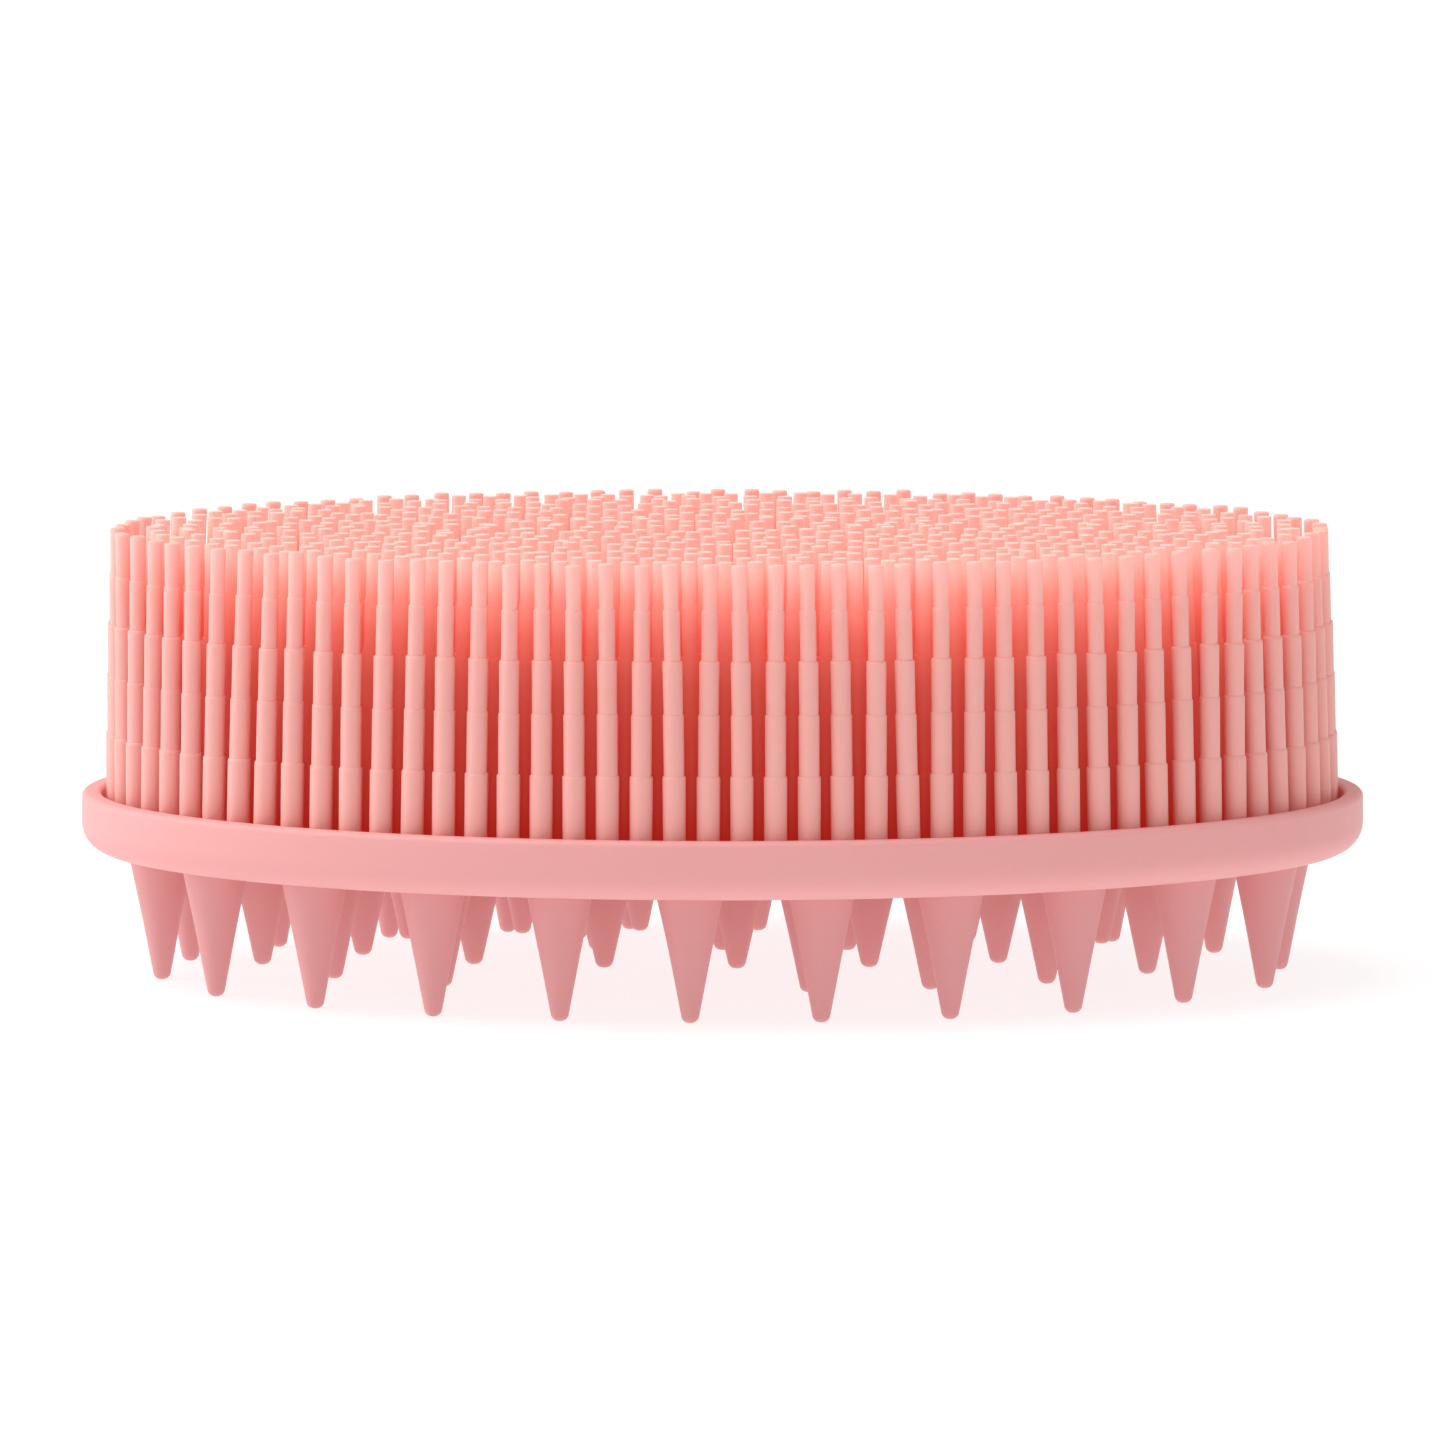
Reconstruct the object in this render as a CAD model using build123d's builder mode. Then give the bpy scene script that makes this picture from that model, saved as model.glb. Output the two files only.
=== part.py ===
from build123d import *
import math
import os

# Double-sided scalp massager brush, all soft silicone. Millimetres, +Z up, +X along the length.
# The origin is on the table under the middle of the brush, which stands on its outer cones.

# --- dish ------------------------------------------------------------------------------------
brush_length = 130.0        # overall, along X
brush_width = 80.8          # overall, along Y
dish_height = 6.0           # underside to rim top
dish_floor = 3.0
rim_wall = 2.0
underside_round = 2.8       # radius round the lower outside edge
rim_round = 0.5             # radius on both edges of the rim top

# --- massage cones ---------------------------------------------------------------------------
cone_length = 13.1          # outer ring, underside to tip: the height the dish stands at
cone_root_radius = 3.35
cone_tip_radius = 0.76      # where the taper would meet the tip plane
cone_tip_round = 0.5
cone_inset_end = 7.85       # dish edge to the outer ring's centre line, at the two ends
cone_inset_side = 8.85      # the same at the two long sides
cone_step_end = 10.15       # from one oval ring to the next, along X
ring_counts = (22, 18, 12)  # cones in each oval ring, outermost first
ring_starts = (9.75, 8.6, 1.45)  # arc length from the front middle to each ring's first cone
middle_count = 3            # cones in the straight middle row
middle_pitch = 12.7
bowl_depth = 2.5            # how much shorter the middle row is, so the tips hug a head

# --- how a cone leans ------------------------------------------------------------------------
pivot_depth = 1.9           # the lean is centred this far below the dish's underside
root_gap = 0.12             # between a cone's domed root and its seat in the dish

# --- bristle pad -----------------------------------------------------------------------------
pad_thickness = 1.2
pad_gap = 0.1               # bond line between the pad and the dish, all round
bristle_pitch = 3.3         # along a ring, and from ring to ring
bristle_rim_gap = 0.5       # outermost bristle to the rim's inner wall
bristle_start = 1.9         # arc length from the front middle to the outermost ring's first bristle
bristle_least_gap = 0.2     # between the roots of any two bristles
bristle_root_radius = 1.12  # at the web
bristle_waist_radius = 1.05  # where the thick lower part ends
bristle_shaft_radius = 0.92  # where the thin upper part starts, a step in from the waist
bristle_tip_radius = 0.74
bristle_waist_height = 13.8  # web to the step
bristle_height = 28.4       # web to the tip

arc_samples = 1440          # chords that stand for an oval when a ring is spaced out


# --- derived places --------------------------------------------------------------------------
half_length = brush_length / 2
half_width = brush_width / 2
underside = cone_length
rim_top = underside + dish_height
floor_top = underside + dish_floor
web_bottom = floor_top + pad_gap
web_top = web_bottom + pad_thickness
inner_half_length = half_length - rim_wall
inner_half_width = half_width - rim_wall

cone_ring_half_length = half_length - cone_inset_end
cone_ring_half_width = half_width - cone_inset_side
cone_ring_step_side = cone_ring_half_width / len(ring_counts)

pivot_height = underside - pivot_depth
root_dome_radius = math.hypot(cone_root_radius, pivot_depth)
seat_radius = root_dome_radius + root_gap


def ring_points(half_a, half_b, count, start):
    """Points spaced evenly along an oval, counted from `start` past its front middle."""
    turn = 2 * math.pi / arc_samples
    oval = [
        (half_a * math.sin(turn * i), -half_b * math.cos(turn * i))
        for i in range(arc_samples + 1)
    ]
    travelled = [0.0]
    for here, there in zip(oval, oval[1:]):
        travelled.append(travelled[-1] + math.dist(here, there))
    around = travelled[-1]
    points = []
    for k in range(count):
        want = (start + around * k / count) % around
        i = max(j for j in range(arc_samples) if travelled[j] <= want)
        part = (want - travelled[i]) / (travelled[i + 1] - travelled[i])
        points.append(
            tuple(p + (q - p) * part for p, q in zip(oval[i], oval[i + 1]))
        )
    return points


def oval_perimeter(half_a, half_b):
    """Length round an oval, by Ramanujan's formula."""
    h = ((half_a - half_b) / (half_a + half_b)) ** 2
    return math.pi * (half_a + half_b) * (1 + 3 * h / (10 + math.sqrt(4 - 3 * h)))


def cone_places():
    """Every cone's (x, y) and how far its tip stands above the table, outer ring first."""
    places = []
    for ring, (count, start) in enumerate(zip(ring_counts, ring_starts)):
        half_a = cone_ring_half_length - ring * cone_step_end
        half_b = cone_ring_half_width - ring * cone_ring_step_side
        lift = bowl_depth * (1 - (half_b / cone_ring_half_width) ** 2)
        places += [(x, y, lift) for x, y in ring_points(half_a, half_b, count, start)]
    for k in range(middle_count):
        places.append(((k - (middle_count - 1) / 2) * middle_pitch, 0.0, bowl_depth))
    return places


def bristle_places():
    """Every bristle's (x, y): oval rings one pitch apart, then a straight row in the middle.

    Every second ring starts half a pitch earlier, so its bristles stand behind the gaps of the
    ring outside it. Where narrow rings pinch together, a bristle that would crowd one already
    placed is left out.
    """
    half_a = inner_half_length - bristle_rim_gap - bristle_root_radius
    half_b = inner_half_width - bristle_rim_gap - bristle_root_radius
    wanted = []
    ring = 0
    while half_b > 0:
        count = round(oval_perimeter(half_a, half_b) / bristle_pitch)
        start = bristle_start - ring % 2 * bristle_pitch / 2
        wanted += ring_points(half_a, half_b, count, start)
        half_a -= bristle_pitch
        half_b -= bristle_pitch
        ring += 1
    steps_out = int(half_a / bristle_pitch)
    wanted += [(k * bristle_pitch, 0.0) for k in range(-steps_out, steps_out + 1)]

    places = []
    least_apart = 2 * bristle_root_radius + bristle_least_gap
    for place in wanted:
        if all(math.dist(place, other) >= least_apart for other in places):
            places.append(place)
    return places


def make_tray(places):
    """The dish: floor, rim and the domed seats under it that carry the cones."""
    with BuildPart() as tray:
        with BuildSketch(Plane.XY.offset(underside)):
            Ellipse(half_length, half_width)
        extrude(amount=dish_height)
        fillet(tray.edges().sort_by(Axis.Z)[0], radius=underside_round)
        with BuildSketch(Plane.XY.offset(floor_top)):
            Ellipse(inner_half_length, inner_half_width)
        extrude(amount=rim_top - floor_top, mode=Mode.SUBTRACT)
        fillet(tray.faces().sort_by(Axis.Z)[-1].edges(), radius=rim_round)
        with Locations(*[(x, y, pivot_height) for x, y, lift in places]):
            Sphere(seat_radius, mode=Mode.SUBTRACT)
    tray.part.label = "tray"
    return tray.part


def make_cone(name, x, y, lift):
    """One massage cone: rounded tip, straight taper, domed root that sits in the dish."""
    with BuildPart() as cone:
        with BuildSketch(Plane.XZ.offset(-y)):
            with BuildLine():
                Polyline(
                    (x, pivot_height + root_dome_radius),
                    (x, lift),
                    (x + cone_tip_radius, lift),
                    (x + cone_root_radius, underside),
                )
                RadiusArc(
                    (x + cone_root_radius, underside),
                    (x, pivot_height + root_dome_radius),
                    -root_dome_radius,
                )
            make_face()
        revolve(axis=Axis((x, y, 0), (0, 0, 1)))
        tip_edge = cone.edges().filter_by(GeomType.CIRCLE).sort_by(Axis.Z)[0]
        fillet(tip_edge, radius=cone_tip_round)
    cone.part.label = name
    return cone.part


def make_bristle():
    """One bristle, standing on the origin: a thick lower part that steps in to a thinner shaft."""
    with BuildPart() as bristle:
        with BuildSketch(Plane.XZ):
            with BuildLine():
                Polyline(
                    (0, 0),
                    (bristle_root_radius, 0),
                    (bristle_waist_radius, bristle_waist_height),
                    (bristle_shaft_radius, bristle_waist_height),
                    (bristle_tip_radius, bristle_height),
                    (0, bristle_height),
                    close=True,
                )
            make_face()
        revolve(axis=Axis.Z)
    return bristle.part


def make_bristle_pad(bristle, places):
    """The web that lines the dish, with every bristle moulded on."""
    with BuildPart() as pad:
        with BuildSketch(Plane.XY.offset(web_bottom)):
            Ellipse(inner_half_length - pad_gap, inner_half_width - pad_gap)
        extrude(amount=pad_thickness)
        with Locations(*[(x, y, web_top) for x, y in places]):
            add(bristle)
    pad.part.label = "bristle_pad"
    return pad.part


os.makedirs("parts", exist_ok=True)
cones = cone_places()
bristles = bristle_places()
print("cones", len(cones), "bristles", len(bristles))

export_step(make_tray(cones), "parts/tray.step")
for number, (x, y, lift) in enumerate(cones, start=1):
    name = f"cone_{number:02d}"
    export_step(make_cone(name, x, y, lift), f"parts/{name}.step")
export_step(make_bristle_pad(make_bristle(), bristles), "parts/bristle_pad.step")
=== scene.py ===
import math

import bpy
import numpy as np
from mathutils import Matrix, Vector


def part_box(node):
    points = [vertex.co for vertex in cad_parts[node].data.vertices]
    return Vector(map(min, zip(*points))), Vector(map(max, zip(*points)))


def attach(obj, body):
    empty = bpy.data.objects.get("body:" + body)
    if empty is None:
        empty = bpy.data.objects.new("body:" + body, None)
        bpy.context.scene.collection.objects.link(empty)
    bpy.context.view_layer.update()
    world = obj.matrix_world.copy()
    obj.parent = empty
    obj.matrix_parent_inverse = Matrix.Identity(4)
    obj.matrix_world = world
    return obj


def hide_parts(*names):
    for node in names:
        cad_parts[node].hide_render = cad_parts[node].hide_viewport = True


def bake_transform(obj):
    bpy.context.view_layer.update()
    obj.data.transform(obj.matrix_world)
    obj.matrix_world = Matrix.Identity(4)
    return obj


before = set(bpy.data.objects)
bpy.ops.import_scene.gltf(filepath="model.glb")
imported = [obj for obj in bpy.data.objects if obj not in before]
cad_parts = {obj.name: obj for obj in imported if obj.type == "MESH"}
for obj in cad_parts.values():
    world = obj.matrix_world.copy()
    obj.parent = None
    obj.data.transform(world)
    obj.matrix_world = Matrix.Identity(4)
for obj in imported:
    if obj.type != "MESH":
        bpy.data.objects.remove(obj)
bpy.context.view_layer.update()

mm = 0.001
shapeRandom = np.random.default_rng(21)

# the frame's own sizes, in millimetres
trayLow, trayHigh = (np.array(corner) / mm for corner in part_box("tray"))
padLow, padHigh = (np.array(corner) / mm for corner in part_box("bristle_pad"))
halfLength, halfWidth = trayHigh[0], trayHigh[1]
underside, rimTop = trayLow[2], trayHigh[2]
webBottom, webTop, bristleTop = padLow[2], padLow[2] + 1.2, padHigh[2]      # the web is 1.2 mm thick
coneNodes = sorted(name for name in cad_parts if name.startswith("cone_"))
print("frame loaded:", len(coneNodes), "cones, dish", (trayHigh - trayLow).round(1), "mm")


# ---- meshes from arrays ----

# quads between neighbouring rows of a grid whose last column joins its first
def ringQuads(rows, columns):
    row, column = np.meshgrid(np.arange(rows - 1), np.arange(columns), indexing="ij")
    beside = (column + 1) % columns
    corners = [row * columns + column, row * columns + beside,
               (row + 1) * columns + beside, (row + 1) * columns + column]
    return np.stack(corners, axis=-1).reshape(-1, 4)


# triangles that close the first and last rows of such a grid round two points that follow its own
def poleFans(rows, columns):
    first = np.arange(columns)
    second = (first + 1) % columns
    last = (rows - 1) * columns
    low = np.stack([np.full(columns, rows * columns), second, first], axis=-1)
    high = np.stack([np.full(columns, rows * columns + 1), last + first, last + second], axis=-1)
    return [low, high]


# a section swept round an oval: each section point is moved in along the oval's normal by its inset
def sweptRows(oval, normal, inset, height):
    around = oval[None] - normal[None] * inset[..., None]
    return np.concatenate([around, np.repeat(height[:, None, None], len(oval), axis=1)], axis=2)


# a mesh piece from points in millimetres and one or more arrays of faces, each n faces x corners
def makePiece(name, points, faceArrays, material, sharpAngle=None):
    mesh = bpy.data.meshes.new(name)
    mesh.vertices.add(len(points))
    mesh.vertices.foreach_set("co", (points * mm).astype(np.float32).ravel())
    corners = np.concatenate([faces.ravel() for faces in faceArrays])
    sizes = np.concatenate([np.full(len(faces), faces.shape[1]) for faces in faceArrays])
    mesh.loops.add(len(corners))
    mesh.loops.foreach_set("vertex_index", corners.astype(np.int32))
    mesh.polygons.add(len(sizes))
    mesh.polygons.foreach_set("loop_start", (np.cumsum(sizes) - sizes).astype(np.int32))
    mesh.polygons.foreach_set("use_smooth", np.ones(len(sizes), dtype=bool))
    mesh.update(calc_edges=True)
    mesh.validate()
    if sharpAngle is not None:
        mesh.set_sharp_from_angle(angle=math.radians(sharpAngle))
    mesh.materials.append(material)
    piece = bpy.data.objects.new(name, mesh)
    bpy.context.scene.collection.objects.link(piece)
    return piece


# an even walk round a full turn, without its last point, which is its first
def fullTurn(count):
    return np.linspace(0, 2 * math.pi, count, endpoint=False)


# an oval's points and outward normals: (a sin t, -b cos t), from the front middle towards +X
def ovalPoints(halfA, halfB, turn):
    points = np.stack([halfA * np.sin(turn), -halfB * np.cos(turn)], axis=-1)
    normals = np.stack([halfB * np.sin(turn), -halfA * np.cos(turn)], axis=-1)
    return points, normals / np.linalg.norm(normals, axis=-1, keepdims=True)


# points spaced evenly by arc length along an oval, counted from start past its front middle
def evenPlaces(halfA, halfB, count, start, chords=2880):
    turn = np.linspace(0, 2 * math.pi, chords + 1)
    points = ovalPoints(halfA, halfB, turn)[0]
    travelled = np.concatenate([[0], np.cumsum(np.linalg.norm(np.diff(points, axis=0), axis=1))])
    wanted = (start + travelled[-1] * np.arange(count) / count) % travelled[-1]
    at = np.interp(wanted, travelled, turn)
    return ovalPoints(halfA, halfB, at)[0]


# length round an oval, by Ramanujan's formula
def ovalPerimeter(halfA, halfB):
    h = ((halfA - halfB) / (halfA + halfB)) ** 2
    return math.pi * (halfA + halfB) * (1 + 3 * h / (10 + math.sqrt(4 - 3 * h)))


# ---- materials ----

# sRGB hex to linear, one channel at a time: x / 12.92 below 0.04045, else ((x + 0.055) / 1.055) ^ 2.4
def linearColour(hexValue, alpha=1.0):
    channels = [int(hexValue[i:i + 2], 16) / 255 for i in (1, 3, 5)]
    linear = [c / 12.92 if c <= 0.04045 else ((c + 0.055) / 1.055) ** 2.4 for c in channels]
    return (*linear, alpha)


# adds a node, sets its own values and its sockets, and links what comes as a socket
def addNode(tree, kind, settings=None, sockets=None):
    node = tree.nodes.new(kind)
    for key, value in (settings or {}).items():
        setattr(node, key, value)
    for key, value in (sockets or {}).items():
        if isinstance(value, bpy.types.NodeSocket):
            tree.links.new(value, node.inputs[key])
        else:
            node.inputs[key].default_value = value
    return node


# the Mix node's sockets for colours, by place, because its sockets for numbers share their names
mixColourA, mixColourB, mixColourOut = 6, 7, 2

siliconeLook = {
    "ior": 1.41,                    # silicone rubber
    "roughness": (0.46, 0.60),      # bead-blasted mould, satin to matte
    "grainSpan": (0.3, 0.7),        # the part of the grain noise that the roughness follows
    "grainSize": 0.35,              # mm; the mould's own grain is about 0.05, drawn coarser so it shows
    "grainHeight": 0.010,           # mm
    "cloudSize": 16.0,              # mm, how wide the faint colour clouds of the cured mix are
    "flowSize": 3.0,                # mm, waves left where the rubber shrank
    "flowHeight": 0.02,             # mm
    "drawWidth": 0.30,              # mm, the upright marks that the mould's drilled pins leave
    "drawLength": 14.0,             # mm
    "drawHeight": 0.012,            # mm
    "scatterWeight": 0.25,
    "scatterRadius": (1.0, 0.32, 0.24),  # mm, how far red, green and blue light wander inside
}

# by share of a bristle's height: painted shade that darkens and reddens the thick of the field
# towards the web, for the shade and red bounce light deep between the bristles; then a painted glow
# for the light that wanders through the rubber from bristle to bristle, which the shader alone stops
# at each one's skin, inside the field and on its outermost ring
paintedShadeStops = ((0.0, "#D04C40"), (0.40, "#DC5C4F"), (0.57, "#E26D5F"),
             (0.73, "#EE8779"), (0.9, "#F8B2A8"), (1.0, "#FBC9C0"))
glowStops = ((0.0, "#681208"), (0.13, "#6A170F"), (0.40, "#6A231B"), (0.57, "#6B2C24"),
             (0.73, "#7C3E34"), (0.86, "#8A5449"), (0.97, "#A4776D"), (1.0, "#8C6A61"))
tipGlowStops = ((0.0, "#200C09"), (0.50, "#200C09"), (0.80, "#4A2A25"),
                (0.96, "#7C5850"), (1.0, "#846058"))


# a colour ramp over the bristles' height, from the web to their tips
def heightRamp(tree, place, stops):
    height = addNode(tree, "ShaderNodeSeparateXYZ", sockets={"Vector": place}).outputs["Z"]
    share = addNode(tree, "ShaderNodeMapRange", sockets={
        "Value": height, "From Min": webTop * mm, "From Max": bristleTop * mm}).outputs["Result"]
    ramp = addNode(tree, "ShaderNodeValToRGB", sockets={"Fac": share})
    elements = ramp.color_ramp.elements
    for stop in stops[1:-1]:
        elements.new(stop[0])
    for element, (position, hexValue) in zip(elements, stops):
        element.position = position
        element.color = linearColour(hexValue)
    return ramp.outputs["Color"]


# silicone rubber from a bead-blasted mould: satin, faintly grained and clouded, and a little
# translucent. Drawn pieces also carry upright marks, a painted shade multiplies the colour by height,
# and a painted glow adds light by height, so that deep gaps look redder than the faces
def mouldedSilicone(name, light, dark, drawn=False, shadeToPaint=None, glow=None, look=siliconeLook):
    material = bpy.data.materials.new(name)
    material.use_nodes = True
    tree = material.node_tree
    tree.nodes.clear()
    place = addNode(tree, "ShaderNodeTexCoord").outputs["Object"]
    clouds = addNode(tree, "ShaderNodeTexNoise", sockets={
        "Vector": place, "Scale": 1 / (look["cloudSize"] * mm), "Detail": 3.0, "Roughness": 0.5})
    grain = addNode(tree, "ShaderNodeTexNoise", sockets={
        "Vector": place, "Scale": 1 / (look["grainSize"] * mm), "Detail": 2.0, "Roughness": 0.6})
    flow = addNode(tree, "ShaderNodeTexNoise", sockets={
        "Vector": place, "Scale": 1 / (look["flowSize"] * mm), "Detail": 1.0})
    colour = addNode(tree, "ShaderNodeMix", {"data_type": "RGBA"}, {
        "Factor": clouds.outputs["Fac"],
        mixColourA: linearColour(dark), mixColourB: linearColour(light)}).outputs[mixColourOut]
    satin = addNode(tree, "ShaderNodeMapRange", sockets={
        "Value": grain.outputs["Fac"],
        "From Min": look["grainSpan"][0], "From Max": look["grainSpan"][1],
        "To Min": look["roughness"][0], "To Max": look["roughness"][1]})
    bump = addNode(tree, "ShaderNodeBump", sockets={
        "Height": flow.outputs["Fac"], "Distance": look["flowHeight"] * mm})
    bump = addNode(tree, "ShaderNodeBump", sockets={
        "Height": grain.outputs["Fac"], "Distance": look["grainHeight"] * mm,
        "Normal": bump.outputs["Normal"]})
    if drawn:
        across, along = 1 / (look["drawWidth"] * mm), 1 / (look["drawLength"] * mm)
        upright = addNode(tree, "ShaderNodeMapping", sockets={
            "Vector": place, "Scale": (across, across, along)})
        marks = addNode(tree, "ShaderNodeTexNoise", sockets={
            "Vector": upright.outputs["Vector"], "Scale": 1.0, "Detail": 1.0})
        bump = addNode(tree, "ShaderNodeBump", sockets={
            "Height": marks.outputs["Fac"], "Distance": look["drawHeight"] * mm,
            "Normal": bump.outputs["Normal"]})
    # painted shade: the colour is multiplied darker and redder towards the web
    if shadeToPaint:
        colour = addNode(tree, "ShaderNodeMix", {"data_type": "RGBA", "blend_type": "MULTIPLY"}, {
            "Factor": 1.0, mixColourA: heightRamp(tree, place, shadeToPaint),
            mixColourB: colour}).outputs[mixColourOut]
    silicone = addNode(tree, "ShaderNodeBsdfPrincipled", sockets={
        "Base Color": colour, "Roughness": satin.outputs["Result"], "IOR": look["ior"],
        "Subsurface Weight": look["scatterWeight"], "Subsurface Radius": look["scatterRadius"],
        "Subsurface Scale": mm, "Normal": bump.outputs["Normal"]})
    addNode(tree, "ShaderNodeOutputMaterial", sockets={"Surface": silicone.outputs["BSDF"]})
    # painted glow: light emitted by height, standing in for light carried through the rubber
    if glow:
        tree.links.new(heightRamp(tree, place, glow), silicone.inputs["Emission Color"])
        silicone.inputs["Emission Strength"].default_value = 1.0
    return material


# the dish: broad satin walls with slow clouds and a soft light along the rim
dishSilicone = mouldedSilicone("silicone_rubber_moulded_dish", "#F2AEAC", "#EEA7A5")
# the outermost bristles: fine upright marks, and a painted glow in the tips, for the light that shines
# through them
bristleSilicone = mouldedSilicone("silicone_rubber_moulded_bristles", "#F6B6AE", "#F3AFA7", drawn=True,
                                  glow=tipGlowStops)
# the bristles behind them and their web: a shaded copy of the bristle rubber, with painted shade that
# turns the gaps deep red under pale tips, and a painted glow
paintedShadeGlowSilicone = mouldedSilicone("silicone_rubber_painted_shade_and_glow", "#FFFFFF", "#F6F0F0", drawn=True,
                               shadeToPaint=paintedShadeStops, glow=glowStops)
# the cones: a cooler, darker pink; the darkening is painted shade, because they face the table
coneSilicone = mouldedSilicone("silicone_rubber_moulded_cones", "#E4A1A0", "#E09B9B")
print("materials made")


# ---- the dish ----

dish = {
    "aroundSteps": 480,
    "roundSteps": 10,       # on each quarter circle
    "wallSteps": 5,         # between the two rounded edges
    "flatSteps": 6,         # from each flat's edge to its middle
    "wall": 2.0,
    "floor": 3.0,
    "undersideRound": 2.8,
    "rimRound": 0.55,
    "innerFloorRound": 0.4,
    "rimWave": 0.05,        # how far the soft rim strays from a true oval
    "waves": ((3, 0.7, 1.0), (7, 2.1, 0.6)),        # waves in a turn, phase, share
}


# the dish's section from the middle of its underside, round the wall, to the middle of its floor:
# inset from the outer oval and height, with a quarter circle at each corner
def dishSection():
    quarter = np.linspace(0, math.pi / 2, dish["roundSteps"])
    under, rim, inner = dish["undersideRound"], dish["rimRound"], dish["innerFloorRound"]
    wall, floorTop = dish["wall"], underside + dish["floor"]
    straight = np.linspace(underside + under, rimTop - rim, dish["wallSteps"] + 2)[1:-1]
    inset = np.concatenate([
        under - under * np.sin(quarter),
        np.zeros(len(straight)),
        rim - rim * np.cos(quarter),
        wall - rim + rim * np.sin(quarter),
        wall + inner - inner * np.cos(quarter),
    ])
    height = np.concatenate([
        underside + under - under * np.cos(quarter),
        straight,
        rimTop - rim + rim * np.sin(quarter),
        rimTop - rim + rim * np.cos(quarter),
        floorTop + inner - inner * np.sin(quarter),
    ])
    return inset, height


# the dish: the section swept round the oval, with the wave growing up the wall as
# share of the height above the lower round * (wave + rimWave), so that it only ever goes inwards.
# The flats are the edge rings scaled towards the middle, and the two middles are points
def makeDish():
    inset, height = dishSection()
    turn = fullTurn(dish["aroundSteps"])
    oval, normal = ovalPoints(halfLength, halfWidth, turn)
    wave = sum(share * np.sin(count * turn + phase) for count, phase, share in dish["waves"])
    wave = dish["rimWave"] * wave / sum(share for count, phase, share in dish["waves"])
    lift = np.clip((height - underside - dish["undersideRound"]) / (rimTop - underside), 0, 1)
    rows = sweptRows(oval, normal, inset[:, None] + lift[:, None] * (wave + dish["rimWave"]), height)
    shrink = np.linspace(0, 1, dish["flatSteps"] + 2)[1:-1]
    scale = np.stack([shrink, shrink, np.ones(len(shrink))], axis=-1)[:, None]
    grid = np.concatenate([rows[0] * scale, rows, rows[-1] * scale[::-1]])
    points = np.concatenate([grid.reshape(-1, 3), [[0, 0, height[0]], [0, 0, height[-1]]]])
    faces = [ringQuads(len(grid), len(turn)), *poleFans(len(grid), len(turn))]
    piece = makePiece("dish", points, faces, dishSilicone)
    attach(piece, "brush")
    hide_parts("tray")


makeDish()
print("dish made")


# ---- the bristle pad ----

web = {
    "edgeRound": 0.4,
    "edgeInset": 0.1,       # keeps it clear of the dish's wall
    "lift": 0.02,           # and of its floor
    "roundSteps": 5,
    "aroundSteps": 360,
}

bristle = {
    "pitch": 3.3,
    "rimGap": 0.5,              # between the outermost roots and the dish's inner wall
    "padGap": 0.1,              # between the web's edge and that wall
    "start": 1.9,               # along the oval, from its front middle to the first bristle; every
                                # second ring starts half a pitch earlier
    "rootRadius": 1.12,
    "embed": 0.3,               # how far each root reaches into the web
    "leastApart": 2.44,         # nearer ones are left out where narrow rings pinch
    "sides": (12, 8),           # the outermost ring, the others
    "stepHeights": (7.75, 13.8, 19.0, 24.0, 28.4),      # top of each section above the web
    "footRadii": (1.13, 1.03, 0.97, 0.82, 0.735),       # each section at its foot
    "headRadii": (1.13, 1.02, 0.97, 0.81, 0.755),       # and at its head; the tip flares a little
    "lipHeights": (0.32, 0.11),                         # down from each head, a lip that flares
    "lipInsets": (-0.035, -0.02, 0.07),                 # at those heights, and rounds over at the head
    "endLean": 0.032,           # lean towards the middle at the two ends, sideways per height
    "sideLean": 0.030,
    "endStands": 0.024,         # how much straighter the last few stand at the -X end
    "endReach": 0.13,           # and how far in those reach, of the half length
    "strayLean": 0.006,
    "strayBend": 0.0002,        # per mm of height
    "strayHeight": 0.003,       # of the height
}


# oval rings one pitch apart and a straight middle row, less those that would crowd an earlier one
def bristleRings():
    inset = bristle["rimGap"] - bristle["padGap"] + bristle["rootRadius"]
    halfA, halfB = padHigh[0] - inset, padHigh[1] - inset
    rings = []
    while halfB > 0:
        count = round(ovalPerimeter(halfA, halfB) / bristle["pitch"])
        start = bristle["start"] - len(rings) % 2 * bristle["pitch"] / 2
        rings.append(evenPlaces(halfA, halfB, count, start))
        halfA -= bristle["pitch"]
        halfB -= bristle["pitch"]
    steps = np.arange(-int(halfA / bristle["pitch"]), int(halfA / bristle["pitch"]) + 1)
    rings.append(np.stack([steps * bristle["pitch"], steps * 0.0], axis=-1))
    kept = np.zeros((0, 2))
    spaced = []
    for ring in rings:
        mine = []
        for place in ring:
            if np.all(np.linalg.norm(kept - place, axis=1) >= bristle["leastApart"]):
                kept = np.vstack([kept, place])
                mine.append(place)
        if mine:
            spaced.append(np.array(mine))
    return spaced


# the section of one bristle as heights and radii: five straight sections, each a step in from the one
# below; the outermost ring's sections also flare to a lip that rounds over
def bristleSection(lipped):
    heads = np.array(bristle["stepHeights"])
    feet = np.concatenate([[-bristle["embed"]], heads[:-1]])
    footRadii, headRadii = np.array(bristle["footRadii"]), np.array(bristle["headRadii"])
    drops, insets = ((*bristle["lipHeights"], 0), bristle["lipInsets"]) if lipped else ((0,), (0,))
    height = np.stack([feet, *(heads - drop for drop in drops)], axis=-1)
    radius = np.stack([footRadii, *(headRadii - inset for inset in insets)], axis=-1)
    return height.ravel(), radius.ravel()


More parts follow.
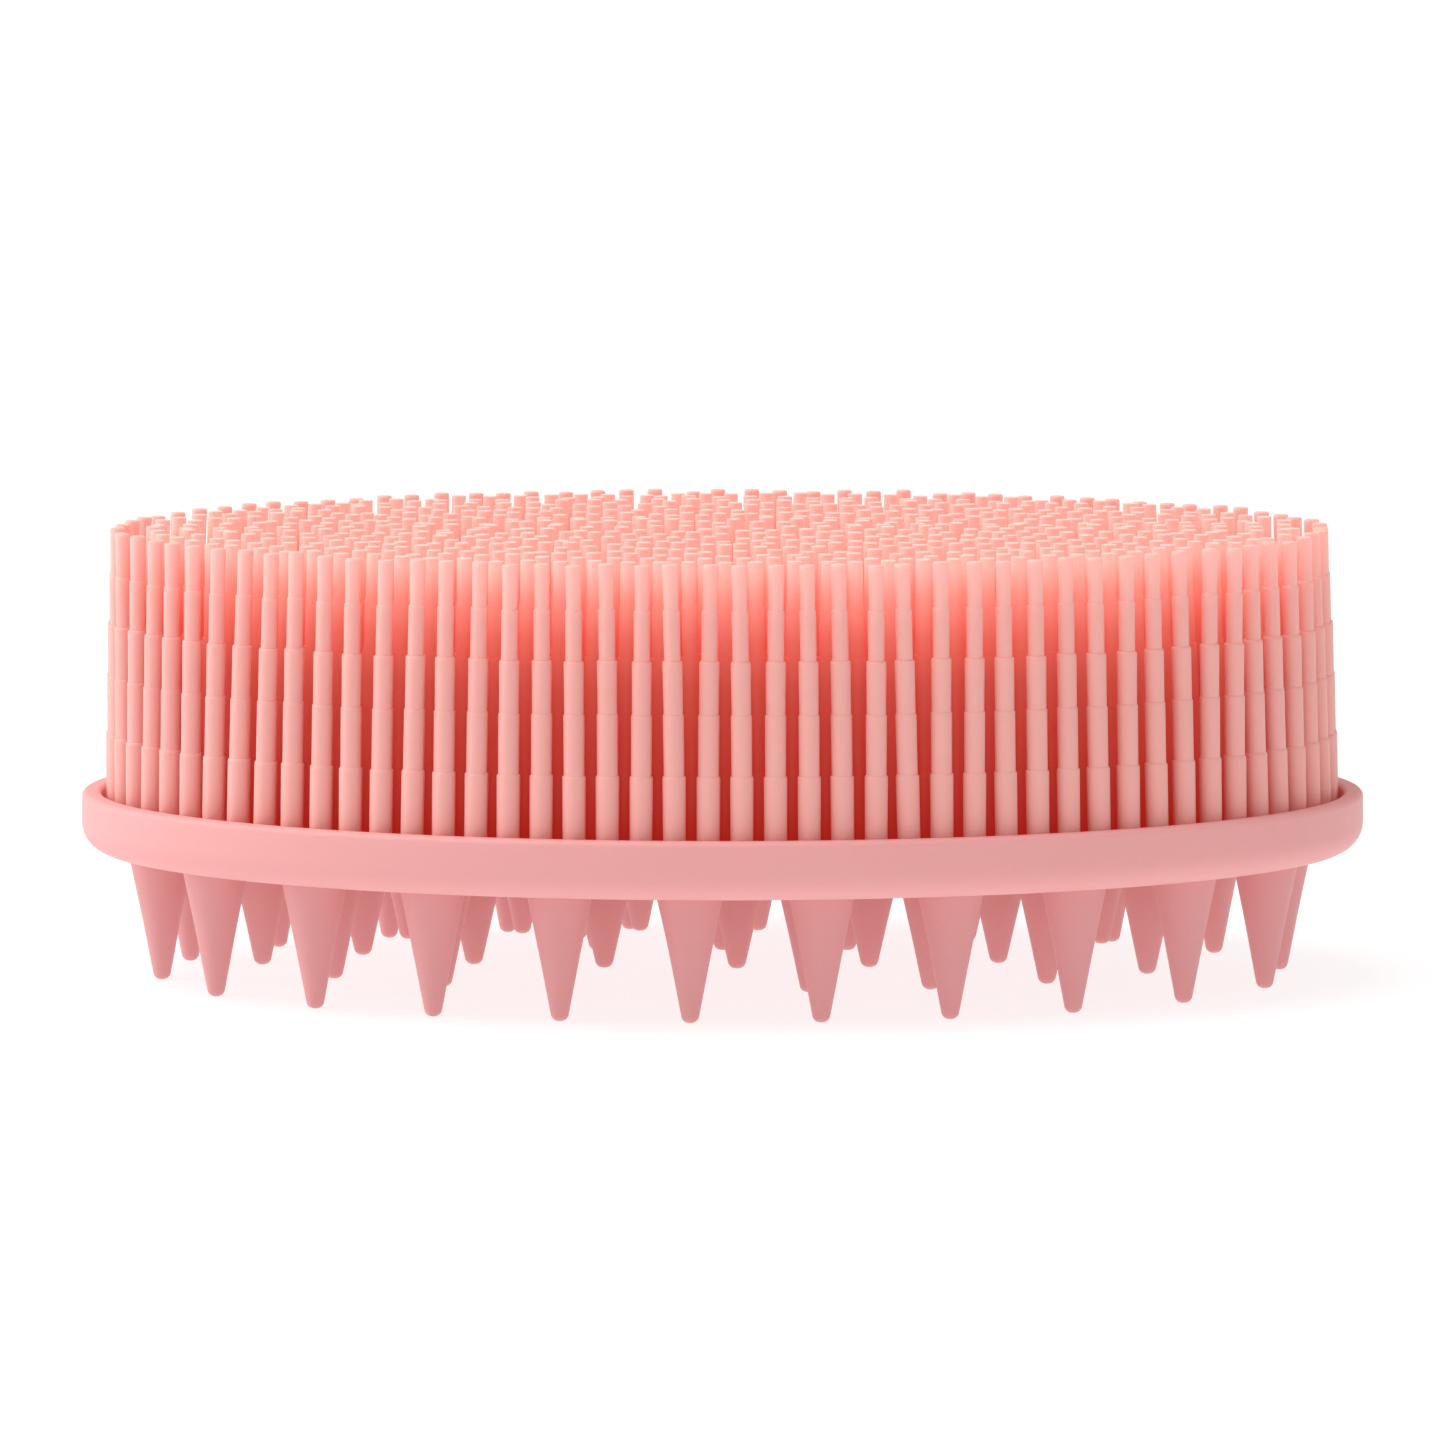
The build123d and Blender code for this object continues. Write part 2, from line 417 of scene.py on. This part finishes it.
# one ring's bristles: the section spun into a prism, copied to every root and sheared so that a point
# at height h moves by lean * h + bend * h^2. The lean is inwards, in step with x and y, and less by
# endStands * exp(-((x + 1) / endReach)^2) near x = -1, where x is a share of the half length
def makeBristles(name, places, lipped):
    sides = bristle["sides"][0 if lipped else 1]
    sectionHeight, sectionRadius = bristleSection(lipped)
    angle = fullTurn(sides)[None] + shapeRandom.uniform(0, 2 * math.pi, len(places))[:, None]
    circle = np.stack([np.cos(angle), np.sin(angle)], axis=-1)
    outward = places / [halfLength, halfWidth]
    lean = -outward * [bristle["endLean"], bristle["sideLean"]]
    lean[:, 0] -= bristle["endStands"] * np.exp(-((outward[:, 0] + 1) / bristle["endReach"]) ** 2)
    lean += shapeRandom.normal(0, bristle["strayLean"], places.shape)
    bend = shapeRandom.normal(0, bristle["strayBend"], places.shape)
    stretch = 1 + shapeRandom.normal(0, bristle["strayHeight"], len(places))
    h = np.maximum(sectionHeight, 0)
    sway = lean[:, None] * h[None, :, None] + bend[:, None] * (h ** 2)[None, :, None]
    across = places[:, None, None] + sway[:, :, None]
    across = across + circle[:, None] * sectionRadius[None, :, None, None]
    up = webTop + sectionHeight[None, :] * stretch[:, None]
    up = np.broadcast_to(up[:, :, None, None], across.shape[:3] + (1,))
    points = np.concatenate([across, up], axis=-1).reshape(-1, 3)
    rows = len(sectionHeight)
    offsets = np.arange(len(places)) * rows * sides
    quads = (ringQuads(rows, sides)[None] + offsets[:, None, None]).reshape(-1, 4)
    tops = np.arange((rows - 1) * sides, rows * sides)[None] + offsets[:, None]
    bottoms = np.arange(sides)[::-1][None] + offsets[:, None]
    # the inner rings take the shaded copy, with painted shade and a painted glow
    material = bristleSilicone if lipped else paintedShadeGlowSilicone
    piece = makePiece(name, points, [quads, tops, bottoms], material, sharpAngle=50)
    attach(piece, "brush")
    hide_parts("bristle_pad")


# the web: an oval sheet with a rounded edge, closed by points in the middle of both faces
def makeWeb():
    bottom, edge = webBottom + web["lift"], web["edgeRound"]
    quarter = np.linspace(0, math.pi / 2, web["roundSteps"])
    inset = np.concatenate([edge - edge * np.sin(quarter), edge - edge * np.cos(quarter)])
    height = np.concatenate([
        bottom + edge - edge * np.cos(quarter),
        webTop - edge + edge * np.sin(quarter),
    ])
    turn = fullTurn(web["aroundSteps"])
    oval, normal = ovalPoints(padHigh[0] - web["edgeInset"], padHigh[1] - web["edgeInset"], turn)
    rows = sweptRows(oval, normal, inset[:, None], height)
    points = np.concatenate([rows.reshape(-1, 3), [[0, 0, bottom], [0, 0, webTop]]])
    faces = [ringQuads(len(rows), len(turn)), *poleFans(len(rows), len(turn))]
    # the web takes the same painted shade and painted glow
    piece = makePiece("bristle_web", points, faces, paintedShadeGlowSilicone)
    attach(piece, "brush")
    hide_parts("bristle_pad")


makeWeb()
for number, places in enumerate(bristleRings(), start=1):
    makeBristles(f"bristles_ring_{number:02d}", places, lipped=number == 1)
    print("bristle ring", number, "has", len(places))


# ---- the massage cones ----

cone = {
    "aroundSteps": 32,
    "rootRadius": 3.35,
    "tipRadius": 0.76,          # where the taper would meet the tip plane
    "tipRound": 0.74,
    "rootFlare": 0.55,          # radius of the fillet into the dish
    "flareDepth": 0.9,          # share of that radius that the fillet reaches down
    "flareTurn": 0.98,          # share of a quarter circle's rise that it takes
    "coreShare": 0.9,           # the root's radius inside the dish, as a share
    "rootSkin": 0.02,           # how far above the underside the flare starts
    "hollow": 0.04,             # how far the taper bows in at half height
    "embed": 0.5,               # how far the root reaches into the dish
    "bendFrom": 0.0,            # below the dish, where the cone starts to turn
    "bendTo": 4.6,              # and where it turns whole
    "tipSteps": 9,
    "sideSteps": 16,
    "flareSteps": 5,
}


# a cone's section from inside the dish down to the tip: a fillet, a taper that bows in as a sine,
# and a rounded tip whose arc runs from the taper to a small flat
def coneSection(tipHeight):
    rootRadius, tipRadius = cone["rootRadius"], cone["tipRadius"]
    length = underside - tipHeight
    slope = math.atan2(rootRadius - tipRadius, length)
    tipRound, flare = cone["tipRound"], cone["rootFlare"]
    flareDepth = flare * cone["flareDepth"]
    flatRadius = tipRadius - tipRound * math.tan(math.pi / 4 - slope / 2)
    arc = np.linspace(math.pi / 2 - slope, 0, cone["tipSteps"])
    tipR = flatRadius + tipRound * np.sin(arc)
    tipZ = tipHeight + tipRound * (1 - np.cos(arc))
    sideZ = np.linspace(underside - flareDepth, tipZ[0], cone["sideSteps"])
    sideR = tipRadius + (rootRadius - tipRadius) * (sideZ - tipHeight) / length
    sideR = sideR - cone["hollow"] * np.sin(math.pi * (sideZ - tipHeight) / length) ** 2
    drop = np.linspace(0, 1, cone["flareSteps"] + 1)[:-1]
    flareZ = underside - flareDepth * drop
    flareR = sideR[0] + flare * (1 - np.sqrt(1 - (1 - drop) ** 2 * cone["flareTurn"]))
    radius = np.concatenate([[flareR[0] * cone["coreShare"]], flareR, sideR[:-1], tipR])
    rootZ = [underside + cone["embed"], underside + cone["rootSkin"]]
    height = np.concatenate([rootZ, flareZ[1:], sideZ[:-1], tipZ])
    return radius, height


def makeCone(name):
    low, high = (np.array(corner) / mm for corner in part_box(name))
    middle = (low + high) / 2
    radius, height = coneSection(low[2])
    turn = fullTurn(cone["aroundSteps"])
    wall = np.stack([
        middle[0] + radius[:, None] * np.cos(turn),
        middle[1] + radius[:, None] * np.sin(turn),
        np.repeat(height[:, None], len(turn), axis=1),
    ], axis=-1).reshape(-1, 3)
    points = np.concatenate([wall, [[*middle[:2], height[0]], [*middle[:2], height[-1]]]])
    faces = [ringQuads(len(radius), len(turn)), *poleFans(len(radius), len(turn))]
    faces = [corners[:, ::-1] for corners in faces]     # turned over, because the rows run down
    piece = makePiece(name.replace("cone", "massage_cone"), points, faces, coneSilicone)
    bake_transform(piece)
    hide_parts(name)


for name in coneNodes:
    makeCone(name)
print("cones made:", len(coneNodes))


# ---- stage, light and camera ----

studio = {
    "tableColour": "#909090",
    "tableGlow": 0.79,          # the light table's own light, which keeps shadows faint
    "horizonLight": 1.05,       # a white band that low views see behind the brush
    "zenithLight": 0.50,
    "horizonFade": (0.03, 0.12),  # sines of the elevations where that band starts and ends its fading
    "sunPower": 1.8,
    "sunFrom": (-0.36, -0.04, 0.92),
    "sunSpread": 50.0,          # degrees across, so its shadows are soft
    "leftPower": 3.8,           # a softbox on the left
    "leftFrom": (-1.1, 0.1, 0.3),
    "leftSize": 0.6,
    "lampAim": (0, 0, 0.03),
    "tableReach": 20000.0,      # mm each way
    "tableRoughness": 0.9,
    "tableShine": 0.1,
}


# a light table under the brush, far wider than the view: white acrylic lit from below
def makeTable():
    reach = studio["tableReach"]
    points = np.array([[-reach, -reach, 0], [reach, -reach, 0], [reach, reach, 0], [-reach, reach, 0]])
    acrylic = bpy.data.materials.new("lit_matte_acrylic")
    acrylic.use_nodes = True
    sheet = acrylic.node_tree.nodes["Principled BSDF"]
    sheet.inputs["Base Color"].default_value = linearColour(studio["tableColour"])
    sheet.inputs["Roughness"].default_value = studio["tableRoughness"]
    sheet.inputs["Specular IOR Level"].default_value = studio["tableShine"]
    sheet.inputs["Emission Color"].default_value = (1, 1, 1, 1)
    sheet.inputs["Emission Strength"].default_value = studio["tableGlow"]
    table = makePiece("light_table", points, [np.array([[0, 1, 2, 3]])], acrylic)


# turns a lamp so that it shines from one place to another
def pointLamp(holder, place, aim):
    way = np.array(aim, dtype=float) - np.array(place)
    holder.location = place
    tilt = math.acos(-way[2] / np.linalg.norm(way))
    holder.rotation_euler = (tilt, 0, math.atan2(way[1], way[0]) - math.pi / 2)


def addLamp(name, kind, place, power):
    lamp = bpy.data.lights.new(name, kind)
    lamp.energy = power
    holder = bpy.data.objects.new(name, lamp)
    bpy.context.scene.collection.objects.link(holder)
    pointLamp(holder, place, studio["lampAim"])
    return lamp


# the room: a white band at the horizon that fades to a dimmer zenith
def makeRoomLight():
    world = bpy.data.worlds.new("white_studio")
    world.use_nodes = True
    tree = world.node_tree
    tree.nodes.clear()
    way = addNode(tree, "ShaderNodeTexCoord").outputs["Generated"]
    height = addNode(tree, "ShaderNodeSeparateXYZ", sockets={"Vector": way}).outputs["Z"]
    light = addNode(tree, "ShaderNodeMapRange", sockets={
        "Value": height,
        "From Min": studio["horizonFade"][0], "From Max": studio["horizonFade"][1],
        "To Min": studio["horizonLight"], "To Max": studio["zenithLight"]}).outputs["Result"]
    sky = addNode(tree, "ShaderNodeBackground", sockets={"Color": (1, 1, 1, 1), "Strength": light})
    addNode(tree, "ShaderNodeOutputWorld", sockets={"Surface": sky.outputs["Background"]})
    bpy.context.scene.world = world


def makeStudio():
    makeRoomLight()
    bpy.context.scene.view_settings.view_transform = "Standard"
    sun = addLamp("soft_sun", "SUN", studio["sunFrom"], studio["sunPower"])
    sun.angle = math.radians(studio["sunSpread"])
    softbox = addLamp("softbox_left", "AREA", studio["leftFrom"], studio["leftPower"])
    softbox.shape = "SQUARE"
    softbox.size = studio["leftSize"]


camera = {
    "aim": (0.0, 0.0, 0.0258),
    "distance": 0.9678,         # metres
    "elevation": 7.26,          # degrees down
    "lens": 237.7,              # mm, on a sensor 36 mm wide
    "sensor": 36,
    "nearest": 0.05,
}


def makeCamera():
    lens = bpy.data.cameras.new("camera")
    lens.sensor_width = camera["sensor"]
    lens.lens = camera["lens"]
    lens.clip_start = camera["nearest"]
    eye = bpy.data.objects.new("camera", lens)
    bpy.context.scene.collection.objects.link(eye)
    tilt = math.radians(camera["elevation"])
    aim = camera["aim"]
    eye.location = (aim[0], aim[1] - camera["distance"] * math.cos(tilt),
                    aim[2] + camera["distance"] * math.sin(tilt))
    eye.rotation_euler = (math.pi / 2 - tilt, 0, 0)
    bpy.context.scene.camera = eye


makeTable()
makeStudio()
makeCamera()
print("stage ready")
